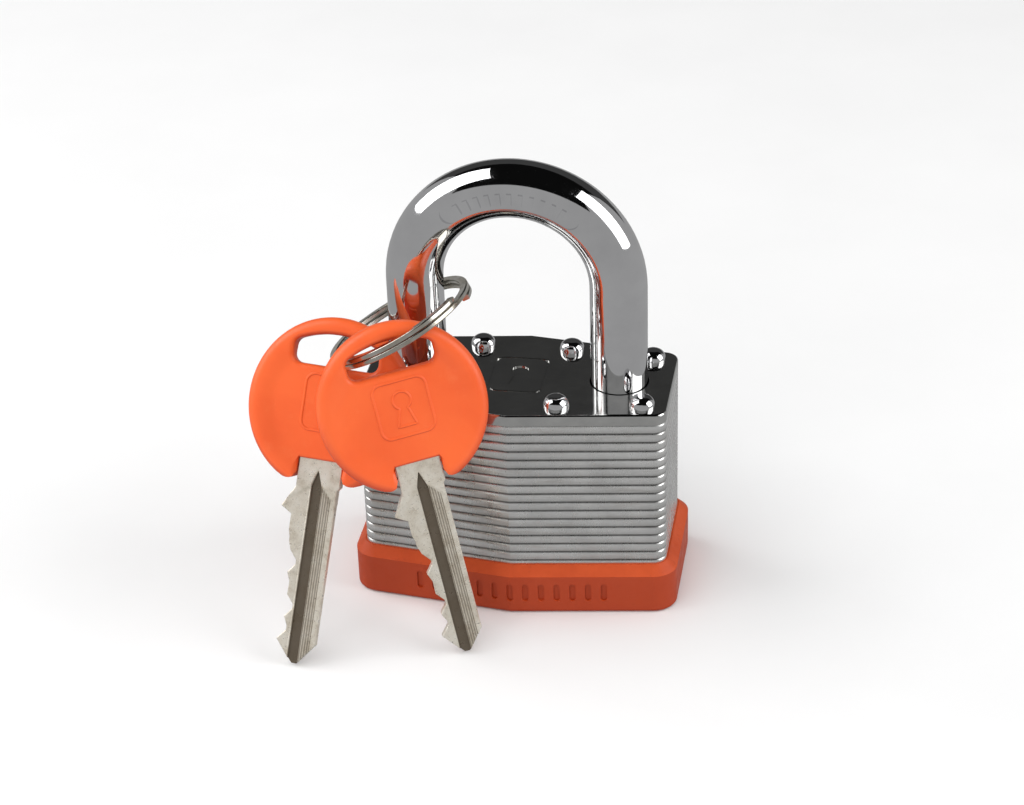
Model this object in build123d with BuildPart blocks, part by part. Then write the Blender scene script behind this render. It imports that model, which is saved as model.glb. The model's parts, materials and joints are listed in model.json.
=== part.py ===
from build123d import *

# Laminated padlock, shut and unlocked, with its two keys on a split ring. Millimetres.
# Origin: centre of the foot, on the surface that the lock stands on. +Z is up, and -Y is the front.
import os
from math import cos, radians, sin

os.makedirs("parts", exist_ok=True)

# ---------------------------------------------------------------- driving dimensions

# Outline of the stack: a rectangle whose front and back rise to a shallow upright ridge.
STACK_WIDTH = 50.0
RIDGE_DEPTH = 26.5
END_DEPTH = 20.0
CORNER_RADIUS = 2.2
RIDGE_RADIUS = 4.0

# Layers, from the foot up.
BUMPER_FLOOR = 1.2
BOTTOM_PLATE = 1.55
LAMINATION = 1.6
LAMINATION_COUNT = 20
TOP_PLATE = 1.85
EDGE_ROUND = 0.5
BOTTOM_EDGE_BREAK = 0.15

# Rubber bumper: a band round the foot of the stack, with a sloping ledge on top.
BUMPER_WALL = 1.8
BUMPER_TOP = 8.5
BUMPER_LEDGE = 1.5
BUMPER_FOOT_ROUND = 0.6
BUMPER_OPENING_RADIUS = 7.6

# Row of upright grip slots on the bumper's front.
GRIP_SLOTS = 13
GRIP_STEP = 2.55
GRIP_WIDE = 1.0
GRIP_HIGH = 3.3
GRIP_DEPTH = 0.35
GRIP_MIDDLE = 3.9
GRIP_REACH = 4.0

# Keyhole sign in a rounded frame, sunk into the top plate between the legs.
EMBLEM_WIDE = 9.0
EMBLEM_DEEP = 11.0
EMBLEM_CORNER = 1.6
EMBLEM_LINE = 0.35
EMBLEM_SINK = 0.2
EMBLEM_EYE_RADIUS = 1.5
EMBLEM_EYE_Y = 1.3
EMBLEM_FOOT = ((-0.6, 1.0), (0.6, 1.0), (1.3, -3.2), (-1.3, -3.2))

# Rivets: eight through the whole stack.
RIVET_RADIUS = 1.5
RIVET_HOLE_RADIUS = 1.53
RIVET_HEAD_RADIUS = 2.1
RIVET_HEAD_HEIGHT = 1.8
RIVET_HEAD_ROUND = 1.6
INNER_RIVET = (7.4, 8.9)
OUTER_RIVET = (21.0, 7.4)

# Shackle: a round bar with two straight legs. The toe leg is at -X and the long heel leg at +X.
LEG_X = 16.4
BAR_RADIUS = 4.6
LEG_HOLE_RADIUS = 4.8
CROWN_HEIGHT = 33.6
TOE_DEPTH = 10.9
SHACKLE_LIFT = 12.0
LEG_END_CHAMFER = 0.5
NECK_RADIUS = 2.9
NOTCH_DEPTH = 1.7
NOTCH_MARGIN = 0.3
COLLAR_LENGTH = 2.0

# Stamped panel on the front of the crown, with a row of bars in it.
PANEL_HALF_ANGLE = 35.0
PANEL_HALF_WIDTH = 1.6
PANEL_FLOOR = 4.22
PANEL_BARS = 11
PANEL_BARS_HALF_ANGLE = 30.0
PANEL_BAR_LONG = 1.9
PANEL_BAR_WIDE = 0.75

# U-shaped retainer round the neck of the heel leg.
RETAINER_HALF_WIDTH = 5.1
RETAINER_INNER = 5.4
RETAINER_GAP = 0.1

# Cylinder: the plug, its housing and the five pin stacks. The pins are behind the plug.
PLUG_Y = -3.0
PLUG_RADIUS = 6.0
PLUG_BORE_RADIUS = 6.06
PLUG_BOTTOM = 1.5
HOUSING_RADIUS = 7.0
HOUSING_LAMINATIONS = 15
TOWER_HALF_WIDTH = 2.6
TOWER_BACK = 10.9
WINDOW_GAP = 0.05
KEYWAY_HALF_WIDTH = 1.15
KEYWAY_PIN_SIDE = 4.6
KEYWAY_BACK_SIDE = 4.0
KEYWAY_ROOF = 0.5
PLATE_GAP = 0.15
CHAMBER_OVERRUN = 0.5
CHAMBER_RADIUS = 1.35
CHAMBER_INNER_END = 1.2
PIN_RADIUS = 1.27
PIN_CHAMFER = 0.4
PIN_PITCH = 3.55
FIRST_PIN_HEIGHT = 4.2
PIN_SHEAR_GAP = 0.08
CUT_RADII = (3.1, 1.5, 2.1, 1.0, 1.5)
DRIVER_LENGTH = 2.6

# Plug's upper end: neck, clip and cam.
NECK_END_RADIUS = 2.9
CLIP_GROOVE_RADIUS = 2.1
CLIP_OUTER_RADIUS = 4.6
CLIP_THICKNESS = 0.7
CLIP_LIFT = 0.15
CLIP_GAP = 0.02
CLIP_WINDOW_RADIUS = 5.0
CLIP_MOUTH = 1.8
CAM_LONG = 3.0
CAM_SHORT = 1.4

# Locking levers: two alike, one turned over, each one with a half-height arm behind the cam.
LEVER_LAMINATIONS = (17, 18)
LEVER_CLEARANCE = 0.1
LEVER_WINDOW_X = 11.0
LEVER_WINDOW_FRONT = -6.4
LEVER_SIDE_GAP = 0.2
NOSE_SLOT_X = 12.6
LEVER_NOSE_X = 11.5
LEVER_NOSE_HALF_WIDTH = 2.0
LEVER_BLOCK = (5.2, 9.2)
LEVER_BACK = 6.4
LEVER_ARM_FRONT = 0.4
LEVER_ARM_BACK = 3.0
LEVER_TAB_INNER = 3.4
LEVER_TAB_OUTER = 4.8
LEVER_TAB_FRONT = -4.6
ARM_GAP = 0.2

# Springs.
LEVER_SPRING_Y = 4.8
LEVER_SPRING_RADIUS = 0.95
LEVER_SPRING_WIRE = 0.2
LEVER_SPRING_TURNS = 8
SPRING_TURNS = 5
PIN_SPRING_RADIUS = 0.95
PIN_SPRING_WIRE = 0.2
SHACKLE_SPRING_RADIUS = 3.4
SHACKLE_SPRING_WIRE = 0.45

# Split ring: two turns of flat wire, round the toe leg and through both key heads.
RING_CENTRE = (-17.79, -6.14, 48.63)
RING_AXIS = (-0.4903, 0.083, 0.8676)
RING_RADIUS = 11.83
RING_WIRE_WIDE = 1.3
RING_WIRE_THICK = 0.82
RING_PITCH = 0.92
RING_TURNS = 1.95
RING_WIRE_ROUND = 0.2

# Keys. In a key's own plane x runs across the head, y towards the head's top, and z out of its face.
HEAD_HALF_WIDTH = 13.5
HEAD_HALF_HEIGHT = 14.0
HEAD_THICKNESS = 3.7
HEAD_ROUND = 1.5
DISH_DEPTH = 0.35
DISH_MARGIN = 2.3
SLOT_HALF_WIDTH = 7.0
SLOT_BOTTOM = 6.0
SLOT_SIDE_TOP = 9.6
SLOT_TOP = 11.2
SLOT_CORNER = 0.9
BOW_HALF_WIDTH = 6.5
BOW_TOP = 4.0
BOW_RAISE = 1.2
BOW_CORNER = 1.5
SHANK_REACH = 6.0
BLADE_THICKNESS = 2.0
BLADE_TOP = -8.9
NOTCH_HALF_WIDTH = 3.75
SHANK_HALF_WIDTH = 3.6
KEY_TIP = -41.8
CUT_PITCH = 3.55
FIRST_CUT = -22.1
BLADE_HIGH_SIDE = -3.8
BLADE_BACK_SIDE = 3.2
CUT_SIDES = (-3.5, -1.9, -2.5, -1.4, -1.9)
CUT_FLAT = 0.35
CUT_RISE = 1.15
SHOULDER_DROP = 4.7
SPUR = (-5.6, -17.0)
SPUR_UNDER = -18.1
TIP_SLOPE = 3.5
TIP_HALF_WIDTH = 0.45
GROOVE_DEPTH = 0.45
GROOVE_OVERRUN = 1.0
MIDDLE_GROOVE = (-0.9, 0.6)
MIDDLE_GROOVE_TOP = -13.2
MIDDLE_GROOVE_POINT = (-0.15, -10.9)
BACK_GROOVE_SIDE = 2.2
BACK_GROOVE_TOPS = (-14.4, -15.6)

# ---------------------------------------------------------------- levels and places worked out from them


def level(number):
    """Height of the underside of a lamination, counted from 1 at the bottom."""
    return BUMPER_FLOOR + BOTTOM_PLATE + LAMINATION * (number - 1)


TOP_PLATE_BOTTOM = level(LAMINATION_COUNT + 1)
STACK_TOP = TOP_PLATE_BOTTOM + TOP_PLATE
HOUSING_TOP = level(HOUSING_LAMINATIONS + 1)
PLUG_TOP = HOUSING_TOP - 0.05
CLIP_LAMINATION = HOUSING_LAMINATIONS + 1
RETAINER_LAMINATION = HOUSING_LAMINATIONS - 1
LEVER_BOTTOM = level(LEVER_LAMINATIONS[0]) + LEVER_CLEARANCE
LEVER_TOP = level(LEVER_LAMINATIONS[1] + 1) - LEVER_CLEARANCE
LEVER_HEIGHT = LEVER_TOP - LEVER_BOTTOM
ARM_THICKNESS = (LEVER_HEIGHT - ARM_GAP) / 2
TOE_BOTTOM = STACK_TOP - TOE_DEPTH
NOTCH_BOTTOM = LEVER_BOTTOM - NOTCH_MARGIN
NOTCH_TOP = LEVER_TOP + NOTCH_MARGIN
RETAINER_BOTTOM = level(RETAINER_LAMINATION) + RETAINER_GAP / 2
RETAINER_THICKNESS = LAMINATION - RETAINER_GAP
NECK_BOTTOM = RETAINER_BOTTOM - SHACKLE_LIFT - RETAINER_GAP
NECK_TOP = level(RETAINER_LAMINATION + 1) + NOTCH_MARGIN
HEEL_BOTTOM = NECK_BOTTOM - COLLAR_LENGTH
CROWN_CENTRE = STACK_TOP + CROWN_HEIGHT - LEG_X
PIN_HEIGHTS = [PLUG_BOTTOM + FIRST_PIN_HEIGHT + PIN_PITCH * count for count in range(len(CUT_RADII))]
RIVET_POINTS = [(sx * x, sy * y) for x, y in (INNER_RIVET, OUTER_RIVET) for sx in (-1, 1) for sy in (-1, 1)]


def save(piece, name):
    """Name a finished piece and write it."""
    piece.label = name
    export_step(piece, f"parts/{name}.step")


def block(x0, x1, y0, y1, mode=Mode.ADD):
    """A rectangle between two x and two y values, in the sketch that is open."""
    with Locations(((x0 + x1) / 2, (y0 + y1) / 2)):
        Rectangle(abs(x1 - x0), abs(y1 - y0), mode=mode)


def stack_outline(grow=0.0):
    """The six-sided outline of the stack, grown outwards."""
    half_width = STACK_WIDTH / 2
    end = END_DEPTH / 2
    ridge = RIDGE_DEPTH / 2
    with BuildSketch() as outline:
        with BuildLine():
            Polyline(
                (half_width, -end),
                (half_width, end),
                (0, ridge),
                (-half_width, end),
                (-half_width, -end),
                (0, -ridge),
                close=True,
            )
        make_face()
        corners = outline.vertices().filter_by(lambda corner: abs(corner.X) > 1)
        ridges = outline.vertices().filter_by(lambda corner: abs(corner.X) < 1)
        fillet(corners, CORNER_RADIUS)
        fillet(ridges, RIDGE_RADIUS)
        if grow:
            offset(amount=grow)
    return outline.sketch


def housing_outline(grow=0.0):
    """Round housing with the square tower of pin chambers behind it."""
    with BuildSketch() as outline:
        with Locations((0, PLUG_Y)):
            Circle(HOUSING_RADIUS + grow)
        block(-TOWER_HALF_WIDTH - grow, TOWER_HALF_WIDTH + grow, PLUG_Y, TOWER_BACK + grow)
    return outline.sketch


# ---------------------------------------------------------------- stack of plates


def window(number):
    """What is punched out of a lamination besides the rivet holes."""
    bottom = level(number)
    top = bottom + LAMINATION
    with BuildSketch() as opening:
        with Locations((LEG_X, 0)):
            Circle(LEG_HOLE_RADIUS)
        if top > TOE_BOTTOM:
            with Locations((-LEG_X, 0)):
                Circle(LEG_HOLE_RADIUS)
        if number <= HOUSING_LAMINATIONS:
            add(housing_outline(WINDOW_GAP))
        if number == CLIP_LAMINATION:
            with Locations((0, PLUG_Y)):
                Circle(CLIP_WINDOW_RADIUS)
        if number == RETAINER_LAMINATION:
            half_width = RETAINER_HALF_WIDTH + RETAINER_GAP
            block(LEG_X - RETAINER_INNER - RETAINER_GAP, LEG_X + half_width, -half_width, half_width)
        if number in LEVER_LAMINATIONS:
            nose_room = LEVER_NOSE_HALF_WIDTH + LEVER_SIDE_GAP
            block(-LEVER_WINDOW_X, LEVER_WINDOW_X, LEVER_WINDOW_FRONT, LEVER_BACK + LEVER_SIDE_GAP)
            block(-NOSE_SLOT_X, NOSE_SLOT_X, -nose_room, nose_room)
    return opening.sketch


for number in range(1, LAMINATION_COUNT + 1):
    with BuildPart() as lamination:
        with BuildSketch(Plane.XY.offset(level(number))):
            add(stack_outline())
        extrude(amount=LAMINATION)
        fillet(lamination.faces().sort_by(Axis.Z)[-1].edges(), EDGE_ROUND)
        chamfer(lamination.faces().sort_by(Axis.Z)[0].edges(), BOTTOM_EDGE_BREAK)
        with BuildSketch(Plane.XY.offset(level(number))):
            add(window(number))
            with Locations(*RIVET_POINTS):
                Circle(RIVET_HOLE_RADIUS)
        extrude(amount=LAMINATION, mode=Mode.SUBTRACT)
    save(lamination.part, f"lamination_{number:02d}")

with BuildPart() as bottom_plate:
    with BuildSketch(Plane.XY.offset(BUMPER_FLOOR)):
        add(stack_outline())
    extrude(amount=BOTTOM_PLATE)
    chamfer(bottom_plate.faces().sort_by(Axis.Z)[0].edges(), BOTTOM_EDGE_BREAK)
    with BuildSketch(Plane.XY.offset(BUMPER_FLOOR)):
        with Locations((0, PLUG_Y)):
            Circle(PLUG_RADIUS + PLATE_GAP)
        with Locations(*RIVET_POINTS):
            Circle(RIVET_HOLE_RADIUS)
    extrude(amount=BOTTOM_PLATE, mode=Mode.SUBTRACT)
save(bottom_plate.part, "bottom_plate")

with BuildPart() as top_plate:
    with BuildSketch(Plane.XY.offset(TOP_PLATE_BOTTOM)):
        add(stack_outline())
    extrude(amount=TOP_PLATE)
    fillet(top_plate.faces().sort_by(Axis.Z)[-1].edges(), EDGE_ROUND)
    with BuildSketch(Plane.XY.offset(TOP_PLATE_BOTTOM)):
        with Locations((-LEG_X, 0), (LEG_X, 0)):
            Circle(LEG_HOLE_RADIUS)
        with Locations(*RIVET_POINTS):
            Circle(RIVET_HOLE_RADIUS)
    extrude(amount=TOP_PLATE, mode=Mode.SUBTRACT)
    with BuildSketch(Plane.XY.offset(STACK_TOP)):
        RectangleRounded(EMBLEM_WIDE, EMBLEM_DEEP, EMBLEM_CORNER)
        RectangleRounded(
            EMBLEM_WIDE - 2 * EMBLEM_LINE,
            EMBLEM_DEEP - 2 * EMBLEM_LINE,
            EMBLEM_CORNER - EMBLEM_LINE,
            mode=Mode.SUBTRACT,
        )
        with Locations((0, EMBLEM_EYE_Y)):
            Circle(EMBLEM_EYE_RADIUS)
        with BuildLine():
            Polyline(*EMBLEM_FOOT, close=True)
        make_face()
    extrude(amount=-EMBLEM_SINK, mode=Mode.SUBTRACT)
save(top_plate.part, "top_plate")

with BuildPart() as rivets:
    with BuildSketch(Plane.XY.offset(BUMPER_FLOOR)):
        with Locations(*RIVET_POINTS):
            Circle(RIVET_RADIUS)
    extrude(amount=STACK_TOP - BUMPER_FLOOR)
    with BuildSketch(Plane.XY.offset(STACK_TOP)):
        with Locations(*RIVET_POINTS):
            Circle(RIVET_HEAD_RADIUS)
    extrude(amount=RIVET_HEAD_HEIGHT)
    fillet(rivets.edges().group_by(Axis.Z)[-1], RIVET_HEAD_ROUND)
save(rivets.part, "rivets")

with BuildPart() as grip:
    with BuildSketch(Plane.XZ.offset(RIDGE_DEPTH / 2)):
        with Locations((0, GRIP_MIDDLE)):
            with GridLocations(GRIP_STEP, GRIP_STEP, GRIP_SLOTS, 1):
                SlotOverall(GRIP_HIGH, GRIP_WIDE, rotation=90)
    extrude(amount=GRIP_REACH, both=True)
    with BuildSketch():
        add(stack_outline(BUMPER_WALL - GRIP_DEPTH))
    extrude(amount=BUMPER_TOP, mode=Mode.SUBTRACT)

with BuildPart() as base_bumper:
    with BuildSketch():
        add(stack_outline(BUMPER_WALL))
    extrude(amount=BUMPER_TOP)
    chamfer(base_bumper.faces().sort_by(Axis.Z)[-1].edges(), BUMPER_LEDGE)
    fillet(base_bumper.faces().sort_by(Axis.Z)[0].edges(), BUMPER_FOOT_ROUND)
    with BuildSketch(Plane.XY.offset(BUMPER_FLOOR)):
        add(stack_outline())
    extrude(amount=BUMPER_TOP - BUMPER_FLOOR, mode=Mode.SUBTRACT)
    with BuildSketch():
        with Locations((0, PLUG_Y)):
            Circle(BUMPER_OPENING_RADIUS)
    extrude(amount=BUMPER_FLOOR, mode=Mode.SUBTRACT)
    add(grip.part, mode=Mode.SUBTRACT)
save(base_bumper.part, "base_bumper")

# ---------------------------------------------------------------- cylinder


def plug_side(distance, height, towards):
    """Plane across a pin's axis: towards is (-1, 0) for the turned plug and (0, 1) for the housing."""
    x, y = towards
    origin = (x * distance, PLUG_Y + y * distance, height)
    return Plane(origin=origin, x_dir=(-y, x, 0), z_dir=(x, y, 0))


PLUG_PINS = (-1, 0)
HOUSING_PINS = (0, 1)

with BuildPart() as cylinder_housing:
    with BuildSketch(Plane.XY.offset(level(1))):
        add(housing_outline())
        with Locations((0, PLUG_Y)):
            Circle(PLUG_BORE_RADIUS, mode=Mode.SUBTRACT)
    extrude(amount=HOUSING_TOP - level(1))
    for height in PIN_HEIGHTS:
        with BuildSketch(plug_side(PLUG_RADIUS - CHAMBER_OVERRUN, height, HOUSING_PINS)):
            Circle(CHAMBER_RADIUS)
        extrude(amount=TOWER_BACK - PLUG_Y, mode=Mode.SUBTRACT)
save(cylinder_housing.part, "cylinder_housing")

with BuildPart() as plug:
    with BuildSketch(Plane.XY.offset(PLUG_BOTTOM)):
        with Locations((0, PLUG_Y)):
            Circle(PLUG_RADIUS)
    extrude(amount=PLUG_TOP - PLUG_BOTTOM)
    with BuildSketch(Plane.XY.offset(PLUG_BOTTOM)):
        with Locations((0, PLUG_Y)):
            block(-KEYWAY_PIN_SIDE, KEYWAY_BACK_SIDE, -KEYWAY_HALF_WIDTH, KEYWAY_HALF_WIDTH)
    extrude(amount=PLUG_TOP - KEYWAY_ROOF - PLUG_BOTTOM, mode=Mode.SUBTRACT)
    for height in PIN_HEIGHTS:
        with BuildSketch(plug_side(-CHAMBER_INNER_END, height, PLUG_PINS)):
            Circle(CHAMBER_RADIUS)
        extrude(amount=CHAMBER_INNER_END + PLUG_RADIUS + CHAMBER_OVERRUN, mode=Mode.SUBTRACT)
    with BuildSketch(Plane.XY.offset(PLUG_TOP)):
        with Locations((0, PLUG_Y)):
            Circle(NECK_END_RADIUS)
    extrude(amount=LEVER_BOTTOM - PLUG_TOP)
    with BuildSketch(Plane.XY.offset(PLUG_TOP + CLIP_LIFT)):
        with Locations((0, PLUG_Y)):
            Circle(NECK_END_RADIUS)
            Circle(CLIP_GROOVE_RADIUS, mode=Mode.SUBTRACT)
    extrude(amount=CLIP_THICKNESS, mode=Mode.SUBTRACT)
    with BuildSketch(Plane.XY.offset(LEVER_BOTTOM)):
        with Locations((0, PLUG_Y)):
            Ellipse(CAM_LONG, CAM_SHORT)
    extrude(amount=LEVER_HEIGHT)
save(plug.part, "plug")

with BuildPart() as plug_clip:
    with BuildSketch(Plane.XY.offset(PLUG_TOP + CLIP_LIFT + CLIP_GAP)):
        with Locations((0, PLUG_Y)):
            Circle(CLIP_OUTER_RADIUS)
            Circle(CLIP_GROOVE_RADIUS + CLIP_GAP, mode=Mode.SUBTRACT)
            block(0, CLIP_OUTER_RADIUS, -CLIP_MOUTH, CLIP_MOUTH, mode=Mode.SUBTRACT)
    extrude(amount=CLIP_THICKNESS - 2 * CLIP_GAP)
save(plug_clip.part, "plug_clip")


def spring(start, direction, length, radius, wire, turns):
    """An open coil spring whose wire stays inside its two end planes."""
    pitch = (length - 2 * wire) / turns
    first_turn = Plane(origin=start, z_dir=direction).offset(wire)
    with BuildPart() as coil:
        with BuildLine() as path:
            Helix(pitch, pitch * turns, radius, center=first_turn.origin, direction=first_turn.z_dir)
        with BuildSketch(Plane(origin=path.line @ 0, z_dir=path.line % 0)):
            Circle(wire)
        sweep(path=path.line, is_frenet=True)
    return coil.part


for count, height in enumerate(PIN_HEIGHTS, start=1):
    cut_radius = CUT_RADII[count - 1]
    pin_length = PLUG_RADIUS - PIN_SHEAR_GAP - cut_radius
    with BuildPart() as key_pin:
        with BuildSketch(plug_side(cut_radius, height, PLUG_PINS)):
            Circle(PIN_RADIUS)
        extrude(amount=pin_length)
        chamfer(key_pin.edges().group_by(Axis.X)[-1], PIN_CHAMFER)
        chamfer(key_pin.edges().group_by(Axis.X)[0], PIN_SHEAR_GAP * 2)
    save(key_pin.part, f"key_pin_{count}")

    with BuildPart() as driver_pin:
        with BuildSketch(plug_side(PLUG_RADIUS + PIN_SHEAR_GAP, height, HOUSING_PINS)):
            Circle(PIN_RADIUS)
        extrude(amount=DRIVER_LENGTH)
        chamfer(driver_pin.edges().group_by(Axis.Y)[0], PIN_SHEAR_GAP * 2)
    save(driver_pin.part, f"driver_pin_{count}")

    spring_start = PLUG_Y + PLUG_RADIUS + PIN_SHEAR_GAP + DRIVER_LENGTH
    spring_length = TOWER_BACK - spring_start
    pin_spring = spring(
        (0, spring_start, height),
        (0, 1, 0),
        spring_length,
        PIN_SPRING_RADIUS,
        PIN_SPRING_WIRE,
        SPRING_TURNS,
    )
    save(pin_spring, f"pin_spring_{count}")

# ---------------------------------------------------------------- levers


def locking_lever(side, arm_bottom):
    """One lever: a full-height block and nose towards its leg, and a half-height arm and tab."""
    inner, outer = LEVER_BLOCK
    with BuildPart() as lever:
        with BuildSketch(Plane.XY.offset(LEVER_BOTTOM)):
            block(side * inner, side * outer, -LEVER_NOSE_HALF_WIDTH, LEVER_BACK)
            block(side * inner, side * LEVER_NOSE_X, -LEVER_NOSE_HALF_WIDTH, LEVER_NOSE_HALF_WIDTH)
        extrude(amount=LEVER_HEIGHT)
        with BuildSketch(Plane.XY.offset(arm_bottom)):
            block(side * inner, -side * LEVER_TAB_OUTER, LEVER_ARM_FRONT, LEVER_ARM_BACK)
            block(-side * LEVER_TAB_INNER, -side * LEVER_TAB_OUTER, LEVER_TAB_FRONT, LEVER_ARM_BACK)
        extrude(amount=ARM_THICKNESS)
    return lever.part


save(locking_lever(-1, LEVER_BOTTOM), "locking_lever_toe")
save(locking_lever(1, LEVER_TOP - ARM_THICKNESS), "locking_lever_heel")

LEVER_SPRING_START = (-LEVER_BLOCK[0], LEVER_SPRING_Y, (LEVER_BOTTOM + LEVER_TOP) / 2)
lever_spring = spring(
    LEVER_SPRING_START,
    (1, 0, 0),
    2 * LEVER_BLOCK[0],
    LEVER_SPRING_RADIUS,
    LEVER_SPRING_WIRE,
    LEVER_SPRING_TURNS,
)
save(lever_spring, "lever_spring")

# ---------------------------------------------------------------- shackle

with BuildPart() as shackle:
    with BuildLine(Plane.XZ) as centre_line:
        Line((-LEG_X, TOE_BOTTOM), (-LEG_X, CROWN_CENTRE))
        ThreePointArc((-LEG_X, CROWN_CENTRE), (0, CROWN_CENTRE + LEG_X), (LEG_X, CROWN_CENTRE))
        Line((LEG_X, CROWN_CENTRE), (LEG_X, HEEL_BOTTOM))
    with BuildSketch(Plane.XY.offset(TOE_BOTTOM)):
        with Locations((-LEG_X, 0)):
            Circle(BAR_RADIUS)
    sweep(path=centre_line.line)
    chamfer(shackle.edges().group_by(Axis.Z)[0], LEG_END_CHAMFER)
    toe_end = shackle.edges().filter_by(lambda edge: abs(edge.center().Z - TOE_BOTTOM) < 0.01)
    chamfer(toe_end, LEG_END_CHAMFER)
    with BuildSketch(Plane.XY.offset(NECK_BOTTOM)):
        with Locations((LEG_X, 0)):
            Circle(BAR_RADIUS + 1)
            Circle(NECK_RADIUS, mode=Mode.SUBTRACT)
    extrude(amount=NECK_TOP - NECK_BOTTOM, mode=Mode.SUBTRACT)
    with BuildSketch(Plane.XY.offset(NOTCH_BOTTOM)):
        notch_inner = LEG_X - BAR_RADIUS - 1
        notch_floor = LEG_X - BAR_RADIUS + NOTCH_DEPTH
        block(notch_inner, notch_floor, -BAR_RADIUS, BAR_RADIUS)
        block(-notch_inner, -notch_floor, -BAR_RADIUS, BAR_RADIUS)
    extrude(amount=NOTCH_TOP - NOTCH_BOTTOM, mode=Mode.SUBTRACT)
    with BuildSketch(Plane.XZ.offset(PANEL_FLOOR)):
        SlotArc(
            Edge.make_circle(
                LEG_X,
                Plane((0, CROWN_CENTRE, 0)),
                start_angle=90 - PANEL_HALF_ANGLE,
                end_angle=90 + PANEL_HALF_ANGLE,
            ),
            2 * PANEL_HALF_WIDTH,
        )
        with Locations((0, CROWN_CENTRE)):
            with PolarLocations(
                LEG_X,
                PANEL_BARS,
                start_angle=90 - PANEL_BARS_HALF_ANGLE,
                angular_range=2 * PANEL_BARS_HALF_ANGLE,
                endpoint=True,
            ):
                Rectangle(PANEL_BAR_LONG, PANEL_BAR_WIDE, mode=Mode.SUBTRACT)
    extrude(amount=BAR_RADIUS, mode=Mode.SUBTRACT)
save(shackle.part, "shackle")

with BuildPart() as shackle_retainer:
    with BuildSketch(Plane.XY.offset(RETAINER_BOTTOM)):
        block(LEG_X - RETAINER_INNER, LEG_X + RETAINER_HALF_WIDTH, -RETAINER_HALF_WIDTH, RETAINER_HALF_WIDTH)
        mouth = NECK_RADIUS + PLATE_GAP
        with Locations((LEG_X, 0)):
            Circle(mouth, mode=Mode.SUBTRACT)
        block(LEG_X - RETAINER_INNER - 1, LEG_X, -mouth, mouth, mode=Mode.SUBTRACT)
    extrude(amount=RETAINER_THICKNESS)
save(shackle_retainer.part, "shackle_retainer")

shackle_spring = spring(
    (LEG_X, 0, level(1)),
    (0, 0, 1),
    HEEL_BOTTOM - level(1),
    SHACKLE_SPRING_RADIUS,
    SHACKLE_SPRING_WIRE,
    SPRING_TURNS,
)
save(shackle_spring, "shackle_spring")

# ---------------------------------------------------------------- ring and keys

ring_plane = Plane(origin=RING_CENTRE, x_dir=(0, 1, 0), z_dir=RING_AXIS)
ring_height = RING_PITCH * RING_TURNS

with BuildPart() as split_ring:
    first_turn = ring_plane.offset(-ring_height / 2)
    with BuildLine() as ring_path:
        Helix(RING_PITCH, ring_height, RING_RADIUS, center=first_turn.origin, direction=first_turn.z_dir)
    with BuildSketch(Plane(origin=ring_path.line @ 0, x_dir=first_turn.z_dir, z_dir=ring_path.line % 0)):
        RectangleRounded(RING_WIRE_THICK, RING_WIRE_WIDE, RING_WIRE_ROUND)
    sweep(path=ring_path.line, is_frenet=True)
save(split_ring.part, "split_ring")


def key_plane(centre, yaw, lean, roll):
    """A key's own plane: turned about Z by yaw, leant back by lean, then turned in its face by roll."""
    turn = radians(yaw)
    back = radians(lean)
    spin = radians(roll)
    face = Vector(sin(turn) * cos(back), -cos(turn) * cos(back), sin(back))
    across = Vector(cos(turn), sin(turn), 0)
    up = face.cross(across)
    return Plane(origin=centre, x_dir=across * cos(spin) + up * sin(spin), z_dir=face)


def head_outline(shrink=0.0):
    """The oval of the head."""
    with BuildSketch() as outline:
        Ellipse(HEAD_HALF_WIDTH - shrink, HEAD_HALF_HEIGHT - shrink)
    return outline.sketch


def slot_outline():
    """The ring's slot: flat below, bowed above, with round ends."""
    with BuildSketch() as outline:
        with BuildLine():
            Line((-SLOT_HALF_WIDTH, SLOT_BOTTOM), (SLOT_HALF_WIDTH, SLOT_BOTTOM))
            Line((SLOT_HALF_WIDTH, SLOT_BOTTOM), (SLOT_HALF_WIDTH, SLOT_SIDE_TOP))
            ThreePointArc((SLOT_HALF_WIDTH, SLOT_SIDE_TOP), (0, SLOT_TOP), (-SLOT_HALF_WIDTH, SLOT_SIDE_TOP))
            Line((-SLOT_HALF_WIDTH, SLOT_SIDE_TOP), (-SLOT_HALF_WIDTH, SLOT_BOTTOM))
        make_face()
        fillet(outline.vertices(), SLOT_CORNER)
    return outline.sketch


def bow_outline():
    """The part of the blade that the head is moulded over."""
    with BuildSketch() as outline:
        block(-BOW_HALF_WIDTH, BOW_HALF_WIDTH, BLADE_TOP + BOW_RAISE, BOW_TOP)
        fillet(outline.vertices(), BOW_CORNER)
        block(-SHANK_HALF_WIDTH, SHANK_HALF_WIDTH, BLADE_TOP - SHANK_REACH, 0)
    return outline.sketch


def blade_points():
    """Outline of the blade below the head: back edge, tip, then the cuts up to the shoulder spur."""
    points = [
        (BLADE_BACK_SIDE, BLADE_TOP - SHOULDER_DROP),
        (BLADE_BACK_SIDE, KEY_TIP + TIP_SLOPE),
        (TIP_HALF_WIDTH, KEY_TIP),
        (-TIP_HALF_WIDTH, KEY_TIP),
        (CUT_SIDES[-1] - CUT_RISE, KEY_TIP + TIP_SLOPE),
    ]
    for count in reversed(range(len(CUT_SIDES))):
        y = FIRST_CUT - CUT_PITCH * count
        points.append((CUT_SIDES[count], y - CUT_FLAT))
        points.append((CUT_SIDES[count], y + CUT_FLAT))
        if count:
            deeper = max(CUT_SIDES[count], CUT_SIDES[count - 1])
            points.append((max(BLADE_HIGH_SIDE, deeper - CUT_RISE), y + CUT_PITCH / 2))
    points.append((BLADE_HIGH_SIDE, FIRST_CUT + CUT_RISE))
    points.append((BLADE_HIGH_SIDE, SPUR_UNDER))
    points.append(SPUR)
    points.append((-SHANK_HALF_WIDTH, BLADE_TOP - SHOULDER_DROP))
    return points


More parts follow.
